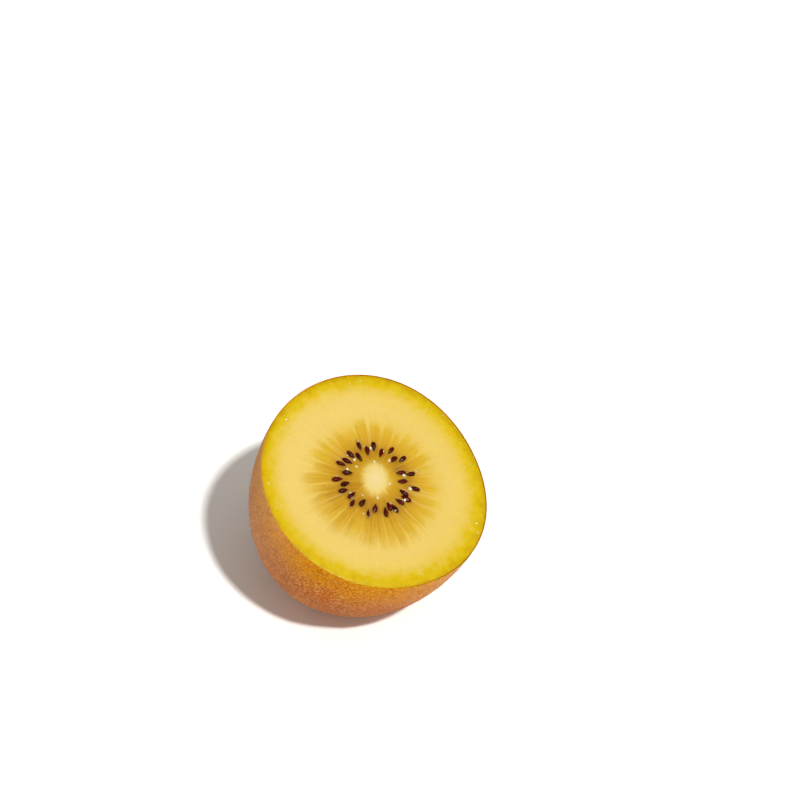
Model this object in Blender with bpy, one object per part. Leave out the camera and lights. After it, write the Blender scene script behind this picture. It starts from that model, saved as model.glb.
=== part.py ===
"""Half of a golden kiwi fruit, cut across its middle and lying on its rounded skin.

The half grew as one piece, so it is one solid: the outside, the moist cut face with its raised core,
the seeds standing half out of the flesh, and the corky scar at the stem end. It is shaped in the
fruit's own frame, with the axis on Z, the cut face at the top and the stem end at the bottom. It is
then leaned over to the way it lies, and trimmed to the small flat spot that its weight presses.
"""

import math
import random

import bmesh
import bpy
from mathutils import Euler, Matrix, Vector

CUT_RADIUS = 0.0265  # half of the diameter at the cut
CUT_TO_END = 0.0358  # from the cut face to the stem end
PLUMPNESS = 2.4  # exponent of the side's curve: 2 is an ellipse, and more is squarer
SIDES = 80
RINGS = 52

# The cut's outline is a circle with a few slow waves: waves round it, share of the radius, angle
OUTLINE_WAVES = (
    (2, 0.020, math.radians(116)),
    (3, 0.012, math.radians(5)),
    (4, 0.006, math.radians(16)),
)

RIM_ROUNDING = 0.0004

# Rings on the cut face, from the rim inwards: share of the radius, height above the cut
FACE_RINGS = (
    (0.90, 0.0001),
    (0.56, 0.0),
    (0.37, -0.0002),
    (0.20, -0.0002),
    (0.15, 0.0002),
    (0.09, 0.0003),
)
# The scar's rings, from its edge inwards: share of its radius, height above the skin
SCAR_RINGS = (
    (0.90, 0.0003),
    (0.78, 0.0003),
    (0.60, -0.0006),
    (0.25, -0.0003),
)

SEEDS = 30
SEED_LENGTH = 0.0021
SEED_WIDTH = 0.00125
SEED_THICKNESS = 0.0010
SEED_POINT = 0.30  # how much narrower the end towards the core is, and how much wider the other
SEED_SIDES = 8
SEED_CENTRES = (0.262, 0.325)  # share of the cut's radius, taken in turn
SEED_SPREAD = 0.025
SEED_STRAY = 0.4  # how far a seed may be off its place round the core, as a share of their spacing
SEED_TURN = math.radians(10)
SEED_SINK = 0.15  # how far a seed's middle is below the face, as a share of its thickness
FIRST_SEED = math.radians(16)
RANDOM_SEED = 148

LEAN = math.radians(22)  # from a level cut face
LEAN_TOWARDS = math.radians(-31)  # the way the cut face looks, from +X
REST_TRIM = 0.0006  # what the flat spot takes off the rounded side

SKIN_COLOUR = (0.42, 0.19, 0.06, 1)
FLESH_COLOUR = (0.85, 0.58, 0.11, 1)
SEED_COLOUR = (0.05, 0.02, 0.015, 1)
SCAR_COLOUR = (0.16, 0.08, 0.04, 1)


def clear_scene():
    for thing in list(bpy.data.objects):
        bpy.data.objects.remove(thing, do_unlink=True)


def material(name, colour, roughness):
    made = bpy.data.materials.new(name)
    made.use_nodes = True
    shader = made.node_tree.nodes["Principled BSDF"]
    shader.inputs["Base Color"].default_value = colour
    shader.inputs["Roughness"].default_value = roughness
    shader.inputs["Metallic"].default_value = 0.0
    return made


def new_object(name, bm, collection, materials):
    mesh = bpy.data.meshes.new(name)
    bm.to_mesh(mesh)
    bm.free()
    made = bpy.data.objects.new(name, mesh)
    for each in materials:
        mesh.materials.append(each)
    collection.objects.link(made)
    return made


def outline_waves(angle):
    return sum(share * math.cos(count * (angle - turn)) for count, share, turn in OUTLINE_WAVES)


def fruit_point(on_sphere):
    """A point of the unit sphere moved to the fruit's surface. The waves fade out towards its ends."""
    side = math.hypot(on_sphere.x, on_sphere.y)
    out = side ** (2 / PLUMPNESS)
    up = abs(on_sphere.z) ** (2 / PLUMPNESS)
    angle = math.atan2(on_sphere.y, on_sphere.x)
    radius = CUT_RADIUS * out * (1 + out * outline_waves(angle))
    height = math.copysign(CUT_TO_END * up, on_sphere.z)
    return Vector((radius * math.cos(angle), radius * math.sin(angle), height))


def add_rings(bm, face, up, rings):
    """Steps a flat face in towards the axis, ring by ring, closes it with a fan, and returns the faces."""
    made = []
    share, height = 1.0, 0.0
    for new_share, new_height in rings:
        face = bmesh.ops.extrude_discrete_faces(bm, faces=[face])["faces"][0]
        step = new_share / share
        bmesh.ops.scale(bm, vec=(step, step, 1), verts=face.verts[:])
        bmesh.ops.translate(bm, vec=up * (new_height - height), verts=face.verts[:])
        made += [side for edge in face.edges for side in edge.link_faces if side is not face]
        share, height = new_share, new_height
    return made + bmesh.ops.poke(bm, faces=[face])["faces"]


def down_in_fruit(lean):
    return lean.inverted() @ Vector((0, 0, -1))


def rest_height(bm, lean):
    """How high the middle of the cut is when the trimmed spot lies on the ground."""
    down = down_in_fruit(lean)
    return max(vert.co.dot(down) for vert in bm.verts) - REST_TRIM


def add_body(collection, materials, lean):
    bm = bmesh.new()
    bmesh.ops.create_uvsphere(bm, u_segments=SIDES, v_segments=RINGS, radius=1.0)
    for vert in bm.verts:
        vert.co = fruit_point(vert.co)

    everything = bm.verts[:] + bm.edges[:] + bm.faces[:]
    cut = bmesh.ops.bisect_plane(
        bm, geom=everything, dist=1e-7, plane_co=(0, 0, 0), plane_no=(0, 0, 1), clear_outer=True
    )
    rim = [part for part in cut["geom_cut"] if isinstance(part, bmesh.types.BMEdge)]
    bmesh.ops.edgeloop_fill(bm, edges=rim)
    bmesh.ops.bevel(
        bm, geom=rim, offset=RIM_ROUNDING, segments=2, profile=0.5, affect="EDGES", clamp_overlap=True
    )
    cut_face = max(bm.faces, key=lambda face: face.calc_area())
    flesh = add_rings(bm, cut_face, Vector((0, 0, 1)), FACE_RINGS)

    pole = min(bm.verts, key=lambda vert: vert.co.z)
    bmesh.ops.dissolve_verts(bm, verts=[pole])
    scar_face = min(bm.faces, key=lambda face: face.calc_center_median().z)
    scar = add_rings(bm, scar_face, Vector((0, 0, -1)), SCAR_RINGS)
    for face in flesh:
        face.material_index = 1
    for face in scar:
        face.material_index = 2

    height = rest_height(bm, lean)
    down = down_in_fruit(lean)
    everything = bm.verts[:] + bm.edges[:] + bm.faces[:]
    spot = bmesh.ops.bisect_plane(
        bm, geom=everything, dist=1e-7, plane_co=down * height, plane_no=down, clear_outer=True
    )
    spot_edges = [part for part in spot["geom_cut"] if isinstance(part, bmesh.types.BMEdge)]
    bmesh.ops.edgeloop_fill(bm, edges=spot_edges)
    bmesh.ops.recalc_face_normals(bm, faces=bm.faces[:])
    return new_object("kiwi_half", bm, collection, materials), height


def seed_point(on_sphere):
    """A point of the unit sphere moved to a seed's surface: a drop whose point looks along -X."""
    wide = 1 + SEED_POINT * on_sphere.x
    return Vector(
        (
            on_sphere.x * SEED_LENGTH / 2,
            on_sphere.y * wide * SEED_WIDTH / 2,
            on_sphere.z * wide * SEED_THICKNESS / 2,
        )
    )


def add_seed(index, place, collection, seed_material):
    bm = bmesh.new()
    bmesh.ops.create_uvsphere(bm, u_segments=SEED_SIDES, v_segments=SEED_SIDES - 2, radius=1.0)
    for vert in bm.verts:
        vert.co = seed_point(vert.co)
    bmesh.ops.transform(bm, matrix=place, verts=bm.verts[:])
    return new_object(f"seed_{index:02d}", bm, collection, [seed_material])


def seed_places():
    """One seed after another round the core, near and far in turn, each pointing at the core."""
    draw = random.Random(RANDOM_SEED)
    step = 2 * math.pi / SEEDS
    for index in range(SEEDS):
        angle = FIRST_SEED + step * (index + draw.uniform(-SEED_STRAY, SEED_STRAY))
        share = SEED_CENTRES[index % 2] + draw.uniform(-SEED_SPREAD, SEED_SPREAD)
        around = Matrix.Rotation(angle, 4, "Z")
        out = Matrix.Translation((share * CUT_RADIUS, 0, -SEED_SINK * SEED_THICKNESS))
        turn = Euler((0, draw.uniform(-1, 1) * SEED_TURN, draw.uniform(-1, 1) * SEED_TURN))
        yield around @ out @ turn.to_matrix().to_4x4()


def grow_seeds(body, seed_material):
    """The seeds are joined to the flesh by one union, and their own objects are then removed."""
    seeds = bpy.data.collections.new("seeds")
    bpy.context.scene.collection.children.link(seeds)
    for index, place in enumerate(seed_places()):
        add_seed(index, place, seeds, seed_material)

    union = body.modifiers.new("seeds", "BOOLEAN")
    union.operation = "UNION"
    union.operand_type = "COLLECTION"
    union.collection = seeds
    union.material_mode = "TRANSFER"
    bpy.context.view_layer.objects.active = body
    bpy.ops.object.modifier_apply(modifier=union.name)
    for seed in list(seeds.objects):
        bpy.data.objects.remove(seed, do_unlink=True)
    bpy.data.collections.remove(seeds)


def lay_down(body, lean, height):
    """Leans the half over, its flat spot on the ground and the middle of its box at the origin."""
    points = [lean @ vert.co for vert in body.data.vertices]
    across = [point.x for point in points]
    along = [point.y for point in points]
    body.rotation_euler = (0, LEAN, LEAN_TOWARDS)
    body.location = (-(min(across) + max(across)) / 2, -(min(along) + max(along)) / 2, height)


def build():
    clear_scene()
    half = bpy.data.collections.new("golden_kiwi_half")
    bpy.context.scene.collection.children.link(half)
    skin = material("kiwi_skin", SKIN_COLOUR, 0.7)
    flesh = material("kiwi_flesh", FLESH_COLOUR, 0.3)
    scar = material("kiwi_stem_scar", SCAR_COLOUR, 0.85)
    seed = material("kiwi_seed", SEED_COLOUR, 0.25)

    lean = Euler((0, LEAN, LEAN_TOWARDS)).to_matrix()
    body, height = add_body(half, [skin, flesh, scar], lean)
    grow_seeds(body, seed)
    body.data.shade_smooth()
    body.data.set_sharp_from_angle(angle=math.radians(40))
    lay_down(body, lean, height)


build()
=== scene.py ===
"""The looks of half a golden kiwi fruit: brown skin, moist golden flesh, pale core and dark seeds.

Everything is shaped in the fruit's own frame, with its axis on Z and the cut face at the top, and is
then leaned over and set down to the place that the frame gives.
"""

import math
import random

import bpy
import numpy as np
from mathutils import Euler, Matrix, Vector


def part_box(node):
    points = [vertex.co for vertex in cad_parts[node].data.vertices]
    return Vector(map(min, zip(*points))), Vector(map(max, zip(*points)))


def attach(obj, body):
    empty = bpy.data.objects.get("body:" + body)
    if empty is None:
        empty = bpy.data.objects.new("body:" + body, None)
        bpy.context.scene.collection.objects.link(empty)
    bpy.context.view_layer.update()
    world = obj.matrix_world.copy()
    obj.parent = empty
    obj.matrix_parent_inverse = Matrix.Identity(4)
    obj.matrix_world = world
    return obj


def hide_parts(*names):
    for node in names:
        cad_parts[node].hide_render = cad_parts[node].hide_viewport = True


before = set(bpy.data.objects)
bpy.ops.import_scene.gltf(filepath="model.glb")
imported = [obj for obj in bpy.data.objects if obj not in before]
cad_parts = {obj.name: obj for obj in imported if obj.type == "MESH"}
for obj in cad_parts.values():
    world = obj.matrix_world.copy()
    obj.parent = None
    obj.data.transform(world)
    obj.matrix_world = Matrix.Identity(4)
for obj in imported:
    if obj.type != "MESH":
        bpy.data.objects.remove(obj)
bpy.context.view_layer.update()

# The fruit's shape, as in the solid
CUT_RADIUS = 0.0265
CUT_TO_END = 0.0358
PLUMPNESS = 2.4
OUTLINE_WAVES = (
    (2, 0.020, math.radians(116)),
    (3, 0.012, math.radians(5)),
    (4, 0.006, math.radians(16)),
)
LEAN = math.radians(22)
LEAN_TOWARDS = math.radians(-31)

# Sides of the fruit: three directions round its axis, and one straight across it
RIPE_SIDE = math.radians(274)
PAINTED_LIGHT_SIDE = math.radians(213)
THICK_RIM_SIDE = math.radians(58)
PALER_TOWARDS = (-0.78, -0.62)

# The skin is a thin shell round the flesh
SKIN_THICKNESS = 0.00011
SKIN_SIDES = 440
SKIN_RINGS = 120
SKIN_INNER_RINGS = 20
SKIN_SWELL = 0.00007
SKIN_GRAIN = 0.000018
SKIN_MIDDLE = (0, 0, -0.006)
SCAR_DIMPLE = 0.00045
SCAR_DIMPLE_RADIUS = 0.0042
SCAR_DIMPLE_DEPTHS = (0.03, 0.034)
PRESS_SOFTNESS = 0.0002

FLESH_SIDES = 420
FACE_RINGS = 150
FLESH_HIDDEN_RINGS = 20
FLESH_GAP = 0.00002
FLESH_GAP_BELOW = 0.0002
RIM_ROUNDING = 0.0006
RIM_STEPS = 6
RIM_FLATNESS = 0.6

# Shares of the cut's radius, and relief of the cut face
CORE_REACH = 0.142
CORE_OVAL = 0.024
CORE_TURN = math.radians(124)
CORE_RISE = 0.00028
SEED_ZONE_DIP = 0.00016
CHAMBER_RELIEF = 0.00007
CUT_UNEVENNESS = 0.00006
SOCKET_DEPTH = 0.00014
RIM_SWELL = 0.00010

# How unevenly the seed chambers stand round the core: count, share and turn of each slow wave
CHAMBER_DRIFT = ((3, 0.17, 0.4), (5, 0.11, 2.1), (8, 0.08, 4.0), (13, 0.05, 1.2))

SEEDS = 30
SEED_LENGTH = 0.0021
SEED_WIDTH = 0.00125
SEED_THICKNESS = 0.0010
SEED_POINT = 0.16
SEED_TIP = 0.28
SEED_CENTRES = (0.262, 0.325)
SEED_SPREAD = 0.025
SEED_STRAY = 0.4
SEED_TURN = math.radians(10)
SEED_SINK = 0.15
FIRST_SEED = math.radians(16)
RANDOM_SEED = 148
SUNK_SEEDS = (11, 21, 23)
SUNK_DEPTH = 0.00036
SEED_PITS = 0.00003

SCAR_RADIUS = 0.0026
SCAR_SIDES = 96

# Along the scar's profile: share of its radius, and metres above the fruit's far end
SCAR_PROFILE = (
    (0, 0.0011), (0.8, 0.0011), (0.98, 0.0008), (1.02, 0.0005), (0.98, 0.0002), (0.88, 0.00002),
    (0.74, 0), (0.6, 0.00012), (0.48, 0.00036), (0.36, 0.00055), (0.26, 0.0005), (0.16, 0.0003),
    (0.07, 0.00022), (0, 0.0002),
)

# Short bristles that lie on the skin
BRISTLES = 9000
BRISTLE_LENGTHS = (0.00025, 0.00055)
BRISTLE_WIDTH = 0.000032
BRISTLE_ROOT = 0.00006
BRISTLE_CLEARANCE = 0.0012
LEAST_RISE = 0.35

# Beads of juice: share of the cut's radius, direction in degrees, and radius in millimetres
WET_SPOTS = (
    (0.268, 53, 0.42), (0.307, 28, 0.48), (0.298, 4, 0.42), (0.244, 172, 0.38), (0.303, 131, 0.36),
    (0.291, 111, 0.34), (0.246, 93, 0.36), (0.123, 23, 0.34), (0.176, -51, 0.32), (0.190, -177, 0.3),
    (0.318, -23, 0.3), (0.171, 127, 0.3), (0.251, -161, 0.3), (0.272, -109, 0.26), (0.891, -176, 0.34),
    (0.962, 12, 0.3), (0.922, 17, 0.3), (0.964, 131, 0.26), (0.935, -134, 0.26), (0.938, -120, 0.24),
)
RIM_BEADS = 46
FACE_BEADS = 34
BEAD_FLATNESS = 0.42
BEAD_SIZES = (0.08, 0.2)

# Smudges on the face: share of the cut's radius, direction in degrees, size in metres, and strength
STAINS = ((0.23, 70, 0.0008, 0.55), (0.245, -88, 0.0006, 0.35), (0.30, -66, 0.0005, 0.35))

# The photograph's camera, on an image 800 pixels wide
IMAGE_PIXELS = 800
CUT_MIDDLE_PIXEL = (375.5, 479.5)
CUT_RADIUS_PIXELS = 120.6
FOCAL_PIXELS = 2000
SENSOR_WIDTH = 36
CAMERA_DROP = math.radians(45)
CAMERA_REACH = (0.01, 100)

SUN_TOWARDS = Vector((0.335, -0.433, 0.837))
SUN_POWER = 3.4
SUN_WIDTH = math.radians(3.5)
SUN_COLOUR = (1, 0.985, 0.96)

# How brightly the room glows, from its dull side to its bright side above the right
GLOW_LOW = 0.105
GLOW_HIGH = 0.92
GLOW_TOWARDS = Vector((0.5, -0.15, 0.85)).normalized()
GLOW_FOCUS = 3
GLOW_COLOUR = (1, 0.98, 0.9, 1)

# A soft card on the left lifts the skin's shaded side
FILL_PLACE = Vector((-0.74, -0.24, 0.12))
FILL_SIZE = 0.6
FILL_POWER = 1.9
FILL_COLOUR = (1, 0.93, 0.86)

# A soft card behind it shapes the back
BACK_PLACE = Vector((-0.25, 0.76, 0.24))
BACK_SIZE = 0.5
BACK_POWER = 0.9
BACK_COLOUR = (1, 0.96, 0.92)

FLOOR_SIZE = 60
PAPER = (0.9, 0.9, 0.9, 1)


def deselect():
    """An operator acts on all that is selected, so each piece starts with nothing selected."""
    bpy.ops.object.select_all(action="DESELECT")


def smooth_step(value, low, high):
    """0 up to low, 1 from high, and an even S between them."""
    share = np.clip((value - low) / (high - low), 0, 1)
    return share * share * (3 - 2 * share)


def outline_waves(angle, cosine=np.cos):
    """The outline's slow waves, for numbers or for a finish."""
    waves = 0
    for count, share, turn in OUTLINE_WAVES:
        waves = cosine((angle - turn) * count) * share + waves
    return waves


def chamber_count(angle, cosine=np.cos):
    """How many seed chambers round from the start this direction is, for numbers or for a finish."""
    count = angle * (SEEDS / (2 * math.pi))
    for waves, share, turn in CHAMBER_DRIFT:
        count = cosine(angle * waves + turn) * share + count
    return count


def core_reach(angle, cosine=np.cos):
    """The oval edge of the pale core, for numbers or for a finish."""
    return cosine((angle - CORE_TURN) * 2) * CORE_OVAL + CORE_REACH


def side_curve(steep, inset):
    """Radius and height on the fruit's side, looking down from the middle of the cut at this angle."""
    across = (np.cos(steep) / (CUT_RADIUS - inset)) ** PLUMPNESS
    along = (np.sin(steep) / (CUT_TO_END - inset)) ** PLUMPNESS
    reach = (across + along) ** (-1 / PLUMPNESS)
    return reach * np.cos(steep), -reach * np.sin(steep)


def side_points(rings, inset):
    """The side's profile from the cut's rim to the far end."""
    steep = np.linspace(0, math.pi / 2, rings + 1)
    radii, heights = side_curve(steep, inset)
    radii[-1] = 0
    return list(zip(radii.tolist(), heights.tolist()))


def points_of(body):
    flat = np.empty(len(body.data.vertices) * 3)
    body.data.vertices.foreach_get("co", flat)
    return flat.reshape(-1, 3)


def move_points(body, points):
    body.data.vertices.foreach_set("co", points.ravel())
    body.data.update()


def towards(x, y, side):
    """How far a place lies to one side of the axis, for numbers or for a finish."""
    return x * math.cos(side) + y * math.sin(side)


def ripples(points, size, draw, count=14):
    """A slow unevenness from about -1 to 1, with hills about this far apart."""
    height = np.zeros(len(points))
    for _ in range(count):
        way = Vector([draw.gauss(0, 1) for _ in range(3)]).normalized()
        pitch = 2 * math.pi / size * draw.uniform(0.7, 1.4)
        height += np.sin(points @ np.array(way) * pitch + draw.uniform(0, 2 * math.pi))
    return height / math.sqrt(count / 2)


def turned(name, profile, sides):
    """A closed body turned about Z from a profile that starts and ends on the axis."""
    deselect()
    upright = (math.pi / 2, 0, 0)
    bpy.ops.mesh.primitive_circle_add(vertices=2 * len(profile) - 2, radius=1, rotation=upright)
    bpy.ops.object.transform_apply(location=False, rotation=True, scale=False)
    body = bpy.context.object
    body.name = body.data.name = name

    bpy.ops.object.mode_set(mode="EDIT")
    bpy.ops.mesh.select_mode(type="VERT")
    bpy.ops.mesh.select_all(action="DESELECT")
    bpy.ops.object.mode_set(mode="OBJECT")
    for vert in body.data.vertices:
        vert.select = vert.co.x < -1e-4
    bpy.ops.object.mode_set(mode="EDIT")
    bpy.ops.mesh.delete(type="VERT")
    bpy.ops.object.mode_set(mode="OBJECT")

    from_top = sorted(body.data.vertices, key=lambda vert: -vert.co.z)
    for vert, (radius, height) in zip(from_top, profile):
        vert.co = (radius, 0, height)
    turning = body.modifiers.new("turning", "SCREW")
    turning.axis = "Z"
    turning.angle = 2 * math.pi
    turning.steps = turning.render_steps = sides
    turning.use_merge_vertices = True
    turning.merge_threshold = 1e-7
    bpy.ops.object.modifier_apply(modifier=turning.name)
    bpy.ops.object.mode_set(mode="EDIT")
    bpy.ops.mesh.select_all(action="SELECT")
    bpy.ops.mesh.normals_make_consistent(inside=False)
    bpy.ops.object.mode_set(mode="OBJECT")
    bpy.ops.object.shade_smooth()
    return body


def copies(name, pattern, places):
    """One mesh that holds a copy of the pattern, which is used up, at each of the places."""
    shape = points_of(pattern)
    faces = [tuple(face.vertices) for face in pattern.data.polygons]
    shape = np.hstack([shape, np.ones((len(shape), 1))])
    points = np.concatenate([shape @ np.array(place).T[:, :3] for place in places])
    shifted = [
        tuple(corner + copy * len(shape) for corner in face)
        for copy in range(len(places))
        for face in faces
    ]
    mesh = bpy.data.meshes.new(name)
    mesh.from_pydata(points.tolist(), [], shifted)
    made = bpy.data.objects.new(name, mesh)
    bpy.context.scene.collection.objects.link(made)
    bpy.data.objects.remove(pattern)
    deselect()
    made.select_set(True)
    bpy.context.view_layer.objects.active = made
    bpy.ops.object.shade_smooth()
    return made


def widened(points):
    """The points with the outline's waves, which fade out towards the axis."""
    radius = np.hypot(points[:, 0], points[:, 1])
    angle = np.arctan2(points[:, 1], points[:, 0])
    share = 1 + radius / CUT_RADIUS * outline_waves(angle)
    return points * np.stack([share, share, np.ones(len(points))], axis=1)


def rest_place():
    """Where the middle of the cut is, so that the leaned fruit fills the solid's box."""
    angle, steep = np.meshgrid(np.radians(np.arange(360)), np.radians(np.arange(0, 91, 3)))
    radius, height = side_curve(steep, 0)
    points = np.stack([radius * np.cos(angle), radius * np.sin(angle), height], axis=-1)
    points = widened(points.reshape(-1, 3)) @ np.array(LEANED.to_3x3()).T
    low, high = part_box("kiwi_half")
    middle = (low + high) / 2
    own_middle = (points.min(axis=0) + points.max(axis=0)) / 2
    top = points[:, 2].max()
    return Vector((middle.x - own_middle[0], middle.y - own_middle[1], high.z - top))


LEANED = Euler((0, LEAN, LEAN_TOWARDS)).to_matrix().to_4x4()
PLACE = rest_place()
SET_DOWN = Matrix.Translation(PLACE) @ LEANED


def set_down(body):
    """Leans the piece over and moves it to its place, in its mesh: its object stays at the origin."""
    body.data.transform(SET_DOWN)
    body.data.update()


def pressed_flat(points, level, softness):
    """The body's own weight presses it flat where it would go below this level."""
    above = points[:, 2] - level
    points[:, 2] = level + (above + np.sqrt(above * above + softness * softness)) / 2
    return points


def tint(red, green, blue):
    """A colour as a screen shows it, 0 to 255 each, in the linear values that a shader takes."""
    return tuple((level / 255) ** 2.2 for level in (red, green, blue)) + (1,)


# How much brighter than its own red, green and blue the cut face looks in this light
LIGHT_ON_CUT = (1.50, 1.45, 1.42)


def seen(red, green, blue):
    """The colour that looks like this on the cut face, in this scene's light."""
    linear = tint(red, green, blue)
    return tuple(level / light for level, light in zip(linear, LIGHT_ON_CUT)) + (1,)


class Mark:
    """One output of a finish's nodes. Arithmetic on it adds the Math nodes that work it out."""

    def __init__(self, finish, socket):
        self.finish = finish
        self.socket = socket

    def __add__(self, other):
        return self.finish.maths("ADD", self, other)

    def __sub__(self, other):
        return self.finish.maths("SUBTRACT", self, other)

    def __rsub__(self, other):
        return self.finish.maths("SUBTRACT", other, self)

    def __mul__(self, other):
        return self.finish.maths("MULTIPLY", self, other)

    def __truediv__(self, other):
        return self.finish.maths("DIVIDE", self, other)

    def __pow__(self, other):
        return self.finish.maths("POWER", self, other)

    __radd__ = __add__
    __rmul__ = __mul__


class Finish:
    """A material under construction: its Principled shader, and short ways to add nodes before it."""

    def __init__(self, name, constants):
        self.material = bpy.data.materials.new(name)
        self.material.use_nodes = True
        self.tree = self.material.node_tree
        self.shader = self.tree.nodes["Principled BSDF"]
        for socket, value in constants.items():
            self.shader.inputs[socket].default_value = value

    def node(self, kind, settings, inputs, output=0):
        made = self.tree.nodes.new(kind)
        for name, value in settings.items():
            if name == "stops":
                self.set_stops(made.color_ramp.elements, value)
            else:
                setattr(made, name, value)
        for name, value in inputs.items():
            self.feed(made.inputs[name], value)
        return Mark(self, made.outputs[output])

    def set_stops(self, elements, stops):
        while len(elements) < len(stops):
            elements.new(1)
        for element, (place, colour) in zip(elements, stops):
            element.position = place
            element.color = colour

    def feed(self, socket, value):
        if isinstance(value, Mark):
            self.tree.links.new(value.socket, socket)
        else:
            socket.default_value = value

    def set(self, socket, value):
        self.feed(self.shader.inputs[socket], value)

    def maths(self, operation, first, second=0.0):
        return self.node("ShaderNodeMath", {"operation": operation}, {0: first, 1: second})

    def cosine(self, value):
        return self.maths("COSINE", value)

    def smooth(self, value, low, high):
        """0 up to low, 1 from high, and an even S between them."""
        settings = {"interpolation_type": "SMOOTHSTEP"}
        return self.node("ShaderNodeMapRange", settings, {0: value, 1: low, 2: high})

    def mix(self, share, first, second):
        settings = {"data_type": "RGBA"}
        return self.node("ShaderNodeMix", settings, {0: share, 6: first, 7: second}, 2)

    def ramp(self, value, stops):
        return self.node("ShaderNodeValToRGB", {"stops": stops}, {0: value})

    def unit(self, vector):
        return self.node("ShaderNodeVectorMath", {"operation": "NORMALIZE"}, {0: vector})

    def noise(self, at, scale, detail=2.0, roughness=0.5):
        inputs = {"Vector": at, "Scale": scale, "Detail": detail, "Roughness": roughness}
        return self.node("ShaderNodeTexNoise", {}, inputs)

    def cells(self, at, scale):
        """How far a place is from the middle of the cell that it is in."""
        return self.node("ShaderNodeTexVoronoi", {}, {"Vector": at, "Scale": scale}, "Distance")

    def chance(self, number):
        """A number from 0 to 1, drawn by chance once for each number."""
        return self.node("ShaderNodeTexWhiteNoise", {"noise_dimensions": "1D"}, {"W": number})

    def joined(self, x, y, z):
        return self.node("ShaderNodeCombineXYZ", {}, {0: x, 1: y, 2: z})

    def split(self, vector):
        return [self.node("ShaderNodeSeparateXYZ", {}, {0: vector}, axis) for axis in range(3)]

    def painted(self, name):
        """A number that the piece's mesh holds for each of its points."""
        settings = {"attribute_type": "GEOMETRY", "attribute_name": name}
        return self.node("ShaderNodeAttribute", settings, {}, "Fac")

    def in_fruit(self):
        """The place on the fruit in its own frame, in radii of the cut: the axis is Z, the cut at 0."""
        place = self.node("ShaderNodeTexCoord", {}, {}, "Object")
        inputs = {
            "Vector": place,
            "Location": PLACE,
            "Rotation": (0, LEAN, LEAN_TOWARDS),
            "Scale": (CUT_RADIUS, CUT_RADIUS, CUT_RADIUS),
        }
        return self.node("ShaderNodeMapping", {"vector_type": "TEXTURE"}, inputs)

    def bump(self, height, strength, distance):
        inputs = {"Height": height, "Strength": strength, "Distance": distance}
        self.set("Normal", self.node("ShaderNodeBump", {}, inputs))


# Colours from the core outwards: between the chambers, and inside them
PALE_STOPS = [
    (0.13, seen(226, 180, 62)),
    (0.21, seen(214, 162, 46)),
    (0.29, seen(206, 154, 48)),
    (0.36, seen(226, 176, 62)),
    (0.45, seen(236, 192, 78)),
    (0.55, seen(242, 205, 98)),
    (0.67, seen(246, 211, 113)),
    (0.80, seen(244, 208, 100)),
    (0.87, seen(239, 202, 72)),
    (0.915, seen(233, 195, 28)),
    (0.95, seen(227, 189, 4)),
    (0.99, seen(212, 172, 0)),
]
CHAMBER_STOPS = [
    (0.12, seen(222, 176, 60)),
    (0.17, seen(213, 161, 38)),
    (0.24, seen(196, 142, 32)),
    (0.30, seen(187, 132, 32)),
    (0.36, seen(217, 164, 44)),
    (0.43, seen(229, 181, 48)),
    (0.52, seen(234, 191, 58)),
    (0.62, seen(239, 199, 80)),
]
CORE_STOPS = [
    (0.0, seen(251, 225, 160)),
    (0.07, seen(249, 220, 144)),
    (0.14, seen(241, 205, 98)),
]


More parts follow.
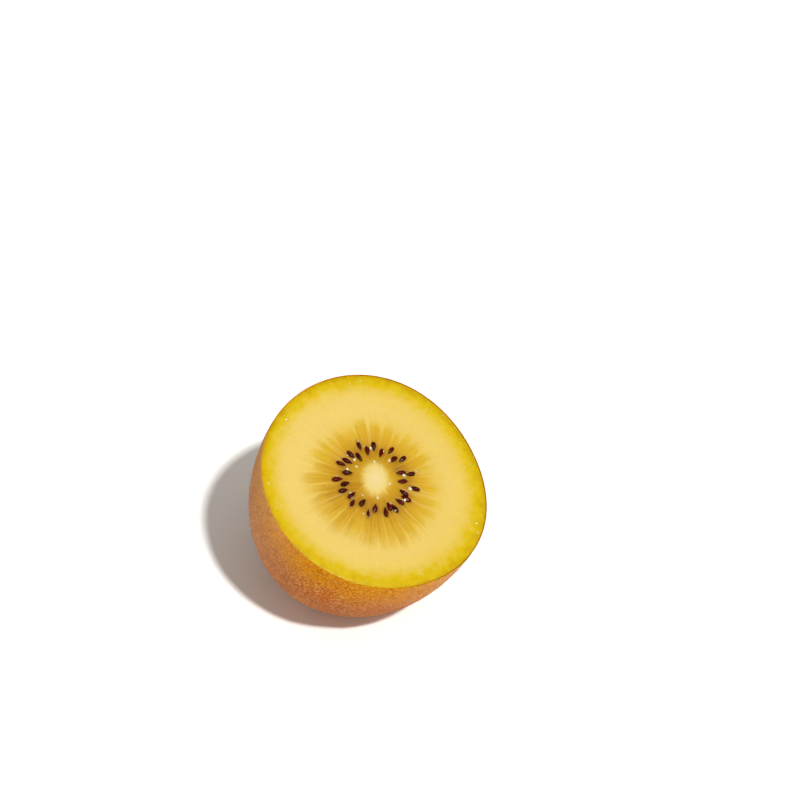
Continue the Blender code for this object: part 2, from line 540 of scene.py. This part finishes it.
def flesh_finish():
    """Cream core, ochre seed zone, honey rays between thin pale walls, butter flesh and a lemon rim."""
    constants = {
        "Roughness": 0.42,
        "Specular IOR Level": 0.1,
        "Subsurface Weight": 0.55,
        "Subsurface Radius": (1.0, 0.6, 0.15),
        "Subsurface Scale": 0.0011,
        "Coat Roughness": 0.12,
        "Coat IOR": 1.36,
    }
    flesh = Finish("moist_flesh", constants)
    at = flesh.in_fruit()
    x, y, _ = flesh.split(at)
    angle = flesh.maths("ARCTAN2", y, x)
    around = flesh.unit(flesh.joined(x, y, 0))
    across, along, _ = flesh.split(around)
    radius = (x * x + y * y) ** 0.5
    out = radius / (radius * outline_waves(angle, flesh.cosine) + 1)

    # Fine and broad fibres that run outwards
    fibres = flesh.noise(flesh.joined(across * 24, along * 24, out * 2.5), 1, 2)
    strands = flesh.noise(flesh.joined(across * 9, along * 9, out * 1.1), 1, 1)

    # Each chamber is a ray with a rounded tip, longer on the ripe side, and thin walls stand between
    count = chamber_count(angle, flesh.cosine) + (flesh.noise(at, 9, 1) - 0.5) * 0.35
    number = flesh.maths("FLOOR", count)
    own = flesh.maths("FLOORED_MODULO", number, SEEDS)
    side = flesh.maths("ABSOLUTE", count - number - 0.5) * 2
    riper = flesh.smooth(flesh.cosine(angle - RIPE_SIDE), 0.1, 0.95)
    tip = flesh.chance(own + 0.5) * 0.09 + riper * 0.06 + 0.475
    mottle = flesh.noise(at, 12, 3, 0.6) - 0.5
    blots = flesh.noise(at, 36, 2, 0.6) - 0.5
    reach = tip - side * side * side * 0.1 + mottle * 0.1 + blots * 0.1 - out
    ray = flesh.smooth(reach / (riper * 0.9 + 1), -0.07, 0.05)
    wall_gap = (1 - side) * out * (math.pi / SEEDS)
    wall = 1 - flesh.smooth(wall_gap, 0.0, 0.02)
    wall_number = flesh.maths("FLOORED_MODULO", flesh.maths("FLOOR", count + 0.5), SEEDS)
    bold = flesh.smooth(flesh.chance(wall_number + 0.75), 0.78, 0.8)
    ray = ray * (1 - wall * (flesh.smooth(out, 0.4, 0.54) * 0.2 + bold * 0.45 + 0.05))

    # Pale flesh, lemon by the rim, and the golden chambers in it
    by_rim = flesh.smooth(out, 0.72, 0.88)
    thick_rim = flesh.cosine(angle - THICK_RIM_SIDE) * 0.02
    pale = flesh.ramp(out + by_rim * thick_rim + mottle * (by_rim * 0.14 + 0.05), PALE_STOPS)
    # The middle zone of the face is paler towards one side
    paler_side = flesh.smooth(x * PALER_TOWARDS[0] + y * PALER_TOWARDS[1], -0.9, 0.9)
    middle_zone = flesh.smooth(out, 0.45, 0.62) * (1 - flesh.smooth(out, 0.78, 0.9))
    pale = flesh.mix(paler_side * middle_zone * 0.5, pale, seen(250, 217, 128))
    golden = flesh.ramp(out + mottle * 0.03, CHAMBER_STOPS)
    browned = flesh.chance(own + 0.25) * (riper * 0.6 + 0.12) + riper * 0.15
    golden = flesh.mix(browned, golden, seen(192, 134, 28))
    body = flesh.mix(ray, pale, golden)

    # Pale threads run outwards from the core, some of them past the chambers
    threads = flesh.smooth(fibres, 0.46, 0.62) * flesh.smooth(out, 0.13, 0.2)
    body = flesh.mix(threads * (1 - flesh.smooth(out, 0.4, 0.7)) * 0.22, body, pale)
    veins = flesh.smooth(strands, 0.6, 0.7) * flesh.smooth(out, 0.22, 0.4)
    body = flesh.mix(veins * (1 - flesh.smooth(out, 0.46, 0.75)) * 0.2, body, seen(252, 222, 138))
    shades = 1 - flesh.smooth(fibres, 0.3, 0.55)
    shades = shades * flesh.smooth(out, 0.2, 0.35) * (1 - flesh.smooth(out, 0.42, 0.7))
    body = flesh.mix(shades * (riper * 0.5 + 0.2), body, seen(192, 140, 42))

    # Fine golden wisps reach out of the chambers, and broad ones on the ripe side
    wisps = flesh.noise(flesh.joined(across * 60, along * 60, out * 9), 1, 2) + blots
    wisps = flesh.smooth(wisps, 0.45, 0.8) * flesh.smooth(out, 0.4, 0.6)
    body = flesh.mix(wisps * 0.22, body, seen(230, 190, 66))
    stray = riper * flesh.smooth(out, 0.44, 0.52) * (1 - flesh.smooth(out, 0.56, 0.72))
    body = flesh.mix(stray * flesh.smooth(strands, 0.3, 0.62) * 0.5, body, seen(228, 178, 52))

    # The core, with a ragged edge
    core_edge = core_reach(angle, flesh.cosine)
    core_out = out / core_edge + (strands - 0.5) * 0.3 + (fibres - 0.5) * 0.35 + mottle * 0.4
    core = 1 - flesh.smooth(core_out, 0.68, 1.2)
    body = flesh.mix(core, body, flesh.ramp(core_out * 0.13, CORE_STOPS))

    # Stains, sunk seeds seen through the flesh, and the darkening round the seeds that is partly
    # painted shade
    stain = flesh.painted("stain")
    body = flesh.mix(stain, body, seen(150, 104, 60))
    flesh.set("Base Color", body)

    wet = flesh.smooth(flesh.noise(at, 34, 2), 0.52, 0.66)
    flesh.set("Coat Weight", wet * 0.35)
    grain = flesh.noise(at, 95, 2) * 0.5 + flesh.noise(at, 32, 2) * 0.6 + fibres * 0.5
    flesh.bump(grain, 0.4, 0.00012)
    return flesh.material


# The skin's colours
RUST = tint(134, 52, 8)
CARAMEL = tint(182, 92, 14)
TAN = tint(196, 108, 36)
AMBER = tint(204, 124, 2)
HONEY = tint(236, 174, 24)
GINGER = tint(164, 78, 0)
ROSE = tint(232, 172, 122)
UMBER = tint(112, 28, 2)
OLIVE_BROWN = tint(112, 82, 6)


def skin_finish():
    """Golden brown, with pale and dark grains, dark red pores, an amber band by the cut that is a
    painted glow of light through the flesh, one side made paler by painted light, and a dark cut edge."""
    constants = {
        "Roughness": 0.55,
        "Specular IOR Level": 0.03,
        "Sheen Weight": 0.35,
        "Sheen Roughness": 0.18,
        "Sheen Tint": (1, 0.78, 0.66, 1),
        "Subsurface Weight": 0.15,
        "Subsurface Radius": (1.0, 0.35, 0.1),
        "Subsurface Scale": 0.0008,
    }
    skin = Finish("fine_brown_skin", constants)
    at = skin.in_fruit()
    x, y, height = skin.split(at)
    mottle = skin.smooth(skin.noise(at, 3.2, 4, 0.6), 0.34, 0.68)
    body = skin.mix(mottle, TAN, CARAMEL)
    # Painted light: near the cut the skin and its grains turn amber, as light through the flesh from
    # the cut would make them
    painted_glow_by_cut = skin.smooth(height + (skin.noise(at, 5, 2) - 0.5) * 0.3, -0.52, -0.06)
    body = skin.mix(painted_glow_by_cut, body, AMBER)
    clumps = skin.noise(at, 34, 2, 0.6)
    grain = skin.noise(at, 64, 2, 0.8) + (clumps - 0.5) * 0.36
    pale_grains = skin.smooth(grain, 0.48, 0.68) * 0.78
    body = skin.mix(pale_grains, body, skin.mix(painted_glow_by_cut, ROSE, HONEY))
    dark_grains = (1 - skin.smooth(grain, 0.33, 0.5)) * 0.68
    body = skin.mix(dark_grains, body, skin.mix(painted_glow_by_cut, RUST, GINGER))
    # Painted light: one side of the skin is paler and pinker, standing in for the fill and sheen that
    # light it
    painted_light = skin.smooth(towards(x, y, PAINTED_LIGHT_SIDE), 0.45, 1.05)
    body = skin.mix(painted_light * 0.42, body, ROSE)
    pore_places = skin.cells(at, 22) + (skin.noise(at, 60, 1) - 0.5) * 0.1
    pores = (1 - skin.smooth(pore_places, 0.11, 0.22)) * skin.smooth(skin.noise(at, 7), 0.34, 0.5)
    body = skin.mix(pores * 0.9, body, UMBER)
    browner = skin.smooth(towards(x, y, THICK_RIM_SIDE), -0.5, 0.6)
    cut_edge = skin.smooth(height, -0.008, -0.002)
    body = skin.mix(cut_edge * (browner * 0.55 + 0.3), body, OLIVE_BROWN)
    skin.set("Base Color", body)
    skin.set("Roughness", grain * 0.3 + 0.4)
    skin.bump(grain + skin.noise(at, 24, 2) * 0.6 - pores * 0.4, 0.9, 0.0003)
    return skin.material


def seed_finish():
    """Dark wine brown, with fine pits and a wet gloss in patches."""
    constants = {
        "Roughness": 0.25,
        "Specular IOR Level": 0.12,
        "Coat Roughness": 0.08,
    }
    seed = Finish("glossy_seed", constants)
    at = seed.in_fruit()
    shade = seed.smooth(seed.noise(at, 11, 2), 0.4, 0.66)
    body = seed.mix(shade, tint(24, 2, 5), tint(72, 8, 10))
    pits = seed.cells(at, 120)
    body = seed.mix(seed.smooth(pits, 0.3, 0.7) * 0.4, body, tint(110, 46, 34))
    seed.set("Base Color", body)
    seed.set("Coat Weight", seed.smooth(seed.noise(at, 20, 1), 0.55, 0.62) * 0.4)
    seed.bump(pits, 0.35, 0.00006)
    return seed.material


def scar_finish():
    """Cork, dark and paler in patches, with dark edges to its flakes."""
    scar = Finish("corky_scar", {"Roughness": 0.85})
    at = scar.in_fruit()
    flakes = scar.cells(at, 42)
    patches = scar.smooth(scar.noise(at, 22, 3), 0.35, 0.7)
    body = scar.mix(patches, tint(58, 34, 20), tint(128, 88, 52))
    body = scar.mix(scar.smooth(flakes, 0.5, 0.75) * 0.6, body, tint(36, 20, 12))
    scar.set("Base Color", body)
    scar.bump(scar.noise(at, 40, 3) - flakes * 0.6, 0.8, 0.0003)
    return scar.material


def bristle_finish():
    """Pale brown, and darker in patches."""
    constants = {"Roughness": 0.5, "Sheen Weight": 0.3}
    bristle = Finish("pale_bristles", constants)
    at = bristle.in_fruit()
    shade = bristle.smooth(bristle.noise(at, 30, 1), 0.35, 0.65)
    bristle.set("Base Color", bristle.mix(shade, tint(196, 130, 92), tint(150, 80, 40)))
    return bristle.material


def juice_finish():
    """Nearly white by the core, a painted highlight that stands in for glints, yellow by the rim,
    glossy and a little cloudy.
    """
    constants = {
        "Roughness": 0.1,
        "IOR": 1.7,
        "Specular IOR Level": 0.8,
        "Subsurface Weight": 0.6,
        "Subsurface Radius": (1.0, 0.8, 0.4),
        "Subsurface Scale": 0.0005,
    }
    juice = Finish("juice_painted_glints", constants)
    at = juice.in_fruit()
    x, y, _ = juice.split(at)
    body = juice.mix(juice.noise(at, 30, 1), seen(252, 236, 170), seen(255, 250, 222))
    by_rim = juice.smooth((x * x + y * y) ** 0.5, 0.5, 0.8)
    juice.set("Base Color", juice.mix(by_rim * 0.75, body, seen(244, 222, 70)))
    return juice.material


def skin_profile():
    inner = side_points(SKIN_INNER_RINGS, SKIN_THICKNESS)
    return inner[::-1] + side_points(SKIN_RINGS, 0)


def add_skin():
    """The outside, with a slow swell, a fine grain and a dimple round the scar."""
    skin = turned("skin", skin_profile(), SKIN_SIDES)
    points = widened(points_of(skin))
    draw = random.Random(21)
    radius = np.hypot(points[:, 0], points[:, 1])
    away_from_cut = smooth_step(-points[:, 2], 0.0002, 0.003)
    swell = ripples(points, 0.014, draw) * SKIN_SWELL + ripples(points, 0.0016, draw) * SKIN_GRAIN
    outward = points - np.array(SKIN_MIDDLE)
    outward /= np.linalg.norm(outward, axis=1)[:, None]
    points += outward * (swell * away_from_cut)[:, None]
    low = smooth_step(-points[:, 2], *SCAR_DIMPLE_DEPTHS)
    inside = 1 - smooth_step(radius, SCAR_DIMPLE_RADIUS * 0.5, SCAR_DIMPLE_RADIUS)
    points[:, 2] += SCAR_DIMPLE * low * inside
    move_points(skin, points)
    set_down(skin)
    move_points(skin, pressed_flat(points_of(skin), 0, PRESS_SOFTNESS))
    skin.data.materials.append(skin_finish())
    return skin


def flesh_profile():
    inset = SKIN_THICKNESS + FLESH_GAP
    edge = CUT_RADIUS - inset - RIM_ROUNDING
    face = [(edge * step / FACE_RINGS, 0) for step in range(FACE_RINGS + 1)]
    rim = []
    for step in range(1, RIM_STEPS + 1):
        turn = math.pi / 2 * step / RIM_STEPS
        drop = RIM_ROUNDING * (math.cos(turn) - 1) * RIM_FLATNESS
        rim.append((edge + RIM_ROUNDING * math.sin(turn), drop))
    return face + rim + side_points(FLESH_HIDDEN_RINGS, SKIN_THICKNESS + FLESH_GAP_BELOW)[1:]


def face_relief(points):
    """How far the juicy cut face stands above or below a flat cut."""
    draw = random.Random(33)
    x, y = points[:, 0], points[:, 1]
    angle = np.arctan2(y, x)
    radius = np.hypot(x, y) / CUT_RADIUS
    out = radius / (1 + radius * outline_waves(angle))
    core = 1 - smooth_step(out - core_reach(angle), -0.05, 0.04)
    zone = smooth_step(out, 0.15, 0.22) * (1 - smooth_step(out, 0.36, 0.52))
    count = chamber_count(angle)
    side = np.abs(count - np.floor(count) - 0.5) * 2
    rays = smooth_step(out, 0.17, 0.26) * (1 - smooth_step(out, 0.42, 0.6))
    walls = (smooth_step(side, 0.55, 1) - 0.35) * rays
    flat = np.stack([x, y, np.zeros(len(x))], axis=1)
    knife = ripples(flat, 0.012, draw) * 0.7 + ripples(flat, 0.0035, draw) * 0.3
    height = core * CORE_RISE - zone * SEED_ZONE_DIP + walls * CHAMBER_RELIEF
    height += knife * CUT_UNEVENNESS * (1 - smooth_step(out, 0.9, 0.97))
    height += RIM_SWELL * smooth_step(out, 0.8, 0.93) * (1 - smooth_step(out, 0.95, 0.985))
    return height * (1 - smooth_step(out, 0.965, 0.985))


def seed_nearness(points):
    """For each seed, how many of its own half lengths and widths away each point of the face is."""
    for place in seed_places():
        local = np.hstack([points[:, :2], np.zeros((len(points), 1)), np.ones((len(points), 1))])
        local = local @ np.array(place.inverted()).T
        yield np.hypot(local[:, 0] / (SEED_LENGTH * 0.56), local[:, 1] / (SEED_WIDTH * 0.5))


def add_flesh():
    """The flesh with its cut face, which also holds how stained or shaded each point is."""
    flesh = turned("flesh", flesh_profile(), FLESH_SIDES)
    points = points_of(flesh)
    on_face = points[:, 2] > -RIM_ROUNDING
    points = widened(points)
    height = face_relief(points)
    stain = np.zeros(len(points))
    riper = 1 + 0.8 * np.cos(np.arctan2(points[:, 1], points[:, 0]) - RIPE_SIDE)
    for index, near in enumerate(seed_nearness(points)):
        height -= SOCKET_DEPTH * (1 - smooth_step(near, 0.95, 1.7))
        # Round each seed the flesh is darker, partly the seed seen through it and partly painted shade
        halo = 0.17 * riper * np.exp(-np.clip(near - 0.9, 0, None) ** 2 / 0.16)
        if index in SUNK_SEEDS:
            halo = 0.6 * np.exp(-np.clip(near - 0.6, 0, None) ** 2 / 0.3)
        stain = np.maximum(stain, halo)
    for share, degrees, size, depth in STAINS:
        turn = math.radians(degrees)
        spot = np.array([share * math.cos(turn), share * math.sin(turn)]) * CUT_RADIUS
        gap = np.hypot(points[:, 0] - spot[0], points[:, 1] - spot[1]) / size
        stain = np.maximum(stain, depth * np.exp(-gap * gap))
    points[:, 2] += np.where(on_face, height, 0)
    move_points(flesh, points)
    layer = flesh.data.attributes.new("stain", "FLOAT", "POINT")
    layer.data.foreach_set("value", np.where(on_face, stain, 0).astype(np.float32))
    set_down(flesh)
    level = SKIN_THICKNESS + FLESH_GAP_BELOW
    move_points(flesh, pressed_flat(points_of(flesh), level, PRESS_SOFTNESS))
    flesh.data.materials.append(flesh_finish())
    return flesh


def seed_places():
    """One seed after another round the core, near and far in turn, as on the solid."""
    draw = random.Random(RANDOM_SEED)
    step = 2 * math.pi / SEEDS
    for index in range(SEEDS):
        angle = FIRST_SEED + step * (index + draw.uniform(-SEED_STRAY, SEED_STRAY))
        share = SEED_CENTRES[index % 2] + draw.uniform(-SEED_SPREAD, SEED_SPREAD)
        around = Matrix.Rotation(angle, 4, "Z")
        out = Matrix.Translation((share * CUT_RADIUS, 0, -SEED_SINK * SEED_THICKNESS))
        turn = Euler((0, draw.uniform(-1, 1) * SEED_TURN, draw.uniform(-1, 1) * SEED_TURN))
        yield around @ out @ turn.to_matrix().to_4x4()


def add_seeds():
    """Drops with their points towards the core, no two alike."""
    draw = random.Random(5)
    lying = (0, math.pi / 2, 0)
    made = []
    for index, place in enumerate(seed_places()):
        deselect()
        bpy.ops.mesh.primitive_uv_sphere_add(segments=28, ring_count=18, radius=1, rotation=lying)
        bpy.ops.object.transform_apply(location=False, rotation=True, scale=False)
        seed = bpy.context.object
        points = points_of(seed)
        inward = np.clip(-points[:, 0], 0, 1)
        wide = (1 + SEED_POINT * points[:, 0]) * (1 - 0.3 * inward ** 3)
        length = 1.02 + SEED_TIP * inward ** 3 + draw.uniform(-0.12, 0.08)
        bend = draw.uniform(-0.08, 0.08) * points[:, 0] ** 2
        plump = draw.uniform(0.74, 0.9)
        shaped = np.stack([
            points[:, 0] * length * SEED_LENGTH / 2,
            (points[:, 1] * plump + bend) * wide * SEED_WIDTH / 2,
            points[:, 2] * wide * SEED_THICKNESS / 2 * 0.92,
        ], axis=1)
        shaped += points * (ripples(shaped, 0.0003, draw) * SEED_PITS)[:, None]
        if index in SUNK_SEEDS:
            shaped[:, 2] -= SUNK_DEPTH
        move_points(seed, shaped)
        seed.data.transform(place)
        made.append(seed)
    deselect()
    for seed in made:
        seed.select_set(True)
    bpy.context.view_layer.objects.active = made[0]
    bpy.ops.object.join()
    seeds = bpy.context.object
    seeds.name = seeds.data.name = "seeds"
    bpy.ops.object.shade_smooth()
    set_down(seeds)
    seeds.data.materials.append(seed_finish())
    return seeds


def add_scar():
    """The corky ring and pit where the stalk broke off, at the far end."""
    profile = [(SCAR_RADIUS * share, height - CUT_TO_END) for share, height in SCAR_PROFILE]
    scar = turned("stem_scar", profile, SCAR_SIDES)
    points = points_of(scar)
    draw = random.Random(8)
    outer = smooth_step(np.hypot(points[:, 0], points[:, 1]), 0.0003, 0.0012)
    cracks = ripples(points, 0.0009, draw) * 0.00005 + ripples(points, 0.0025, draw) * 0.00009
    points += points * [1, 1, 0] / SCAR_RADIUS * (cracks * outer)[:, None]
    points[:, 2] += np.abs(cracks) * outer * 0.8
    move_points(scar, points)
    set_down(scar)
    scar.data.materials.append(scar_finish())
    return scar


def skin_spot(angle, steep):
    """A point of the skin's outside and the direction straight out of it there."""
    ahead = 0.002
    around = np.array([[angle, steep], [angle + ahead, steep], [angle, steep + ahead]])
    radius, height = side_curve(around[:, 1], 0)
    points = np.stack([radius * np.cos(around[:, 0]), radius * np.sin(around[:, 0]), height], axis=1)
    spot, round_it, down_it = (Vector(point) for point in widened(points))
    return spot, (down_it - spot).cross(round_it - spot).normalized()


def add_bristles():
    """Very short bristles, thin on the skin and mostly lying towards the far end."""
    draw = random.Random(17)
    places = []
    lean = LEANED.to_3x3()
    while len(places) < BRISTLES:
        angle = draw.uniform(-math.pi, math.pi)
        steep = math.asin(draw.uniform(0.02, 0.999))
        spot, outward = skin_spot(angle, steep)
        if (lean @ spot).z + PLACE.z < BRISTLE_CLEARANCE:
            continue
        lie = Vector([draw.gauss(0, 0.7) for _ in range(3)]) + Vector((0, 0, -0.6))
        way = outward * draw.uniform(0.5, 1.2) + lie.normalized() * draw.uniform(0.3, 1.1)
        way.normalize()
        if way.dot(outward) < LEAST_RISE:
            continue
        turn = way.to_track_quat("Z", "X").to_matrix().to_4x4()
        length = draw.uniform(*BRISTLE_LENGTHS)
        size = Matrix.Diagonal((BRISTLE_WIDTH, BRISTLE_WIDTH, length, 1))
        places.append(Matrix.Translation(spot - outward * BRISTLE_ROOT) @ turn @ size)
    deselect()
    bpy.ops.mesh.primitive_cone_add(vertices=3, radius1=0.5, radius2=0, depth=1, location=(0, 0, 0.5))
    bpy.ops.object.transform_apply(location=True)
    bristles = copies("bristles", bpy.context.object, places)
    set_down(bristles)
    bristles.data.materials.append(bristle_finish())
    return bristles


def add_juice():
    """Low beads of juice on the cut face, by the rim, the seeds and the core."""
    draw = random.Random(29)
    spots = list(WET_SPOTS)
    for _ in range(RIM_BEADS):
        spots.append((draw.uniform(0.885, 0.965), draw.uniform(-180, 180), draw.uniform(*BEAD_SIZES)))
    for _ in range(FACE_BEADS):
        spots.append((draw.uniform(0.12, 0.86), draw.uniform(-180, 180), draw.uniform(*BEAD_SIZES)))
    places = []
    for share, degrees, millimetres in spots:
        angle = math.radians(degrees)
        radius = share * CUT_RADIUS
        point = np.array([[radius * math.cos(angle), radius * math.sin(angle), 0]])
        point[:, 2] = face_relief(point)
        size = millimetres / 1000
        over_seed = 0
        for near in seed_nearness(point):
            rise = 0.35 * SEED_THICKNESS * max(0, 1 - float(near[0]) ** 2)
            over_seed = max(over_seed, rise)
        point[:, 2] += over_seed
        stretch = draw.uniform(0.75, 1.25)
        spin = Matrix.Rotation(draw.uniform(0, math.pi), 4, "Z")
        shape = Matrix.Diagonal((size * stretch, size / stretch, size * BEAD_FLATNESS, 1))
        places.append(Matrix.Translation(point[0]) @ spin @ shape)
    deselect()
    bpy.ops.mesh.primitive_uv_sphere_add(segments=20, ring_count=12, radius=1)
    juice = copies("juice", bpy.context.object, places)
    set_down(juice)
    juice.data.materials.append(juice_finish())
    return juice


def add_floor():
    deselect()
    bpy.ops.mesh.primitive_plane_add(size=FLOOR_SIZE)
    floor = bpy.context.object
    floor.name = "floor"
    paper = Finish("white_paper", {"Roughness": 0.9, "Specular IOR Level": 0.1})
    paper.set("Base Color", PAPER)
    floor.data.materials.append(paper.material)
    floor.visible_glossy = False


def add_sun():
    deselect()
    bpy.ops.object.light_add(type="SUN")
    sun = bpy.context.object
    sun.name = "key"
    sun.data.energy = SUN_POWER
    sun.data.angle = SUN_WIDTH
    sun.data.color = SUN_COLOUR
    sun.rotation_euler = SUN_TOWARDS.to_track_quat("Z", "Y").to_euler()


def add_card(name, place, size, power, colour):
    """A soft light that faces the fruit."""
    deselect()
    bpy.ops.object.light_add(type="AREA", location=place)
    card = bpy.context.object
    card.name = name
    card.data.size = size
    card.data.energy = power
    card.data.color = colour
    card.rotation_euler = place.to_track_quat("Z", "Y").to_euler()
    return card


def add_world():
    """A room that glows from above the right, and is as white as the floor where it is looked at."""
    world = bpy.data.worlds.new("studio")
    bpy.context.scene.world = world
    world.use_nodes = True
    nodes, links = world.node_tree.nodes, world.node_tree.links
    direction = nodes.new("ShaderNodeTexCoord")
    to_bright = nodes.new("ShaderNodeVectorMath")
    to_bright.operation = "DOT_PRODUCT"
    to_bright.inputs[1].default_value = GLOW_TOWARDS
    focus = nodes.new("ShaderNodeMath")
    focus.operation = "POWER"
    focus.inputs[1].default_value = GLOW_FOCUS
    focus.use_clamp = True
    glow = nodes.new("ShaderNodeMapRange")
    glow.inputs["To Min"].default_value = GLOW_LOW
    glow.inputs["To Max"].default_value = GLOW_HIGH
    room = nodes["Background"]
    room.inputs["Color"].default_value = GLOW_COLOUR
    plain = nodes.new("ShaderNodeBackground")
    plain.inputs["Color"].default_value = (1, 1, 1, 1)
    path = nodes.new("ShaderNodeLightPath")
    either = nodes.new("ShaderNodeMixShader")
    links.new(direction.outputs["Generated"], to_bright.inputs[0])
    links.new(to_bright.outputs["Value"], focus.inputs[0])
    links.new(focus.outputs["Value"], glow.inputs["Value"])
    links.new(glow.outputs["Result"], room.inputs["Strength"])
    links.new(path.outputs["Is Camera Ray"], either.inputs[0])
    links.new(room.outputs[0], either.inputs[1])
    links.new(plain.outputs[0], either.inputs[2])
    links.new(either.outputs[0], nodes["World Output"].inputs["Surface"])
    world.cycles_visibility.glossy = False


def add_camera():
    """Looks down at the cut as the photograph does, from as far as makes the cut as large."""
    away = FOCAL_PIXELS / CUT_RADIUS_PIXELS * CUT_RADIUS
    right = Vector((1, 0, 0))
    up = Vector((0, math.sin(CAMERA_DROP), math.cos(CAMERA_DROP)))
    back = right.cross(up)
    half = IMAGE_PIXELS / 2
    aside = (CUT_MIDDLE_PIXEL[0] - half) / FOCAL_PIXELS * away
    above = (half - CUT_MIDDLE_PIXEL[1]) / FOCAL_PIXELS * away
    data = bpy.data.cameras.new("camera")
    data.sensor_width = SENSOR_WIDTH
    data.lens = SENSOR_WIDTH * FOCAL_PIXELS / IMAGE_PIXELS
    data.clip_start, data.clip_end = CAMERA_REACH
    camera = bpy.data.objects.new("camera", data)
    bpy.context.scene.collection.objects.link(camera)
    camera.location = PLACE - right * aside - up * above + back * away
    camera.rotation_euler = (CAMERA_DROP, 0, 0)
    bpy.context.scene.camera = camera


def join_frame(piece):
    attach(piece, "root")
    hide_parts("kiwi_half")


join_frame(add_skin())
join_frame(add_flesh())
join_frame(add_seeds())
join_frame(add_scar())
join_frame(add_bristles())
join_frame(add_juice())
add_floor()
add_sun()
fill = add_card("fill", FILL_PLACE, FILL_SIZE, FILL_POWER, FILL_COLOUR)
fill.visible_glossy = False
add_card("back", BACK_PLACE, BACK_SIZE, BACK_POWER, BACK_COLOUR)
add_world()
add_camera()
bpy.context.scene.view_settings.view_transform = "Standard"
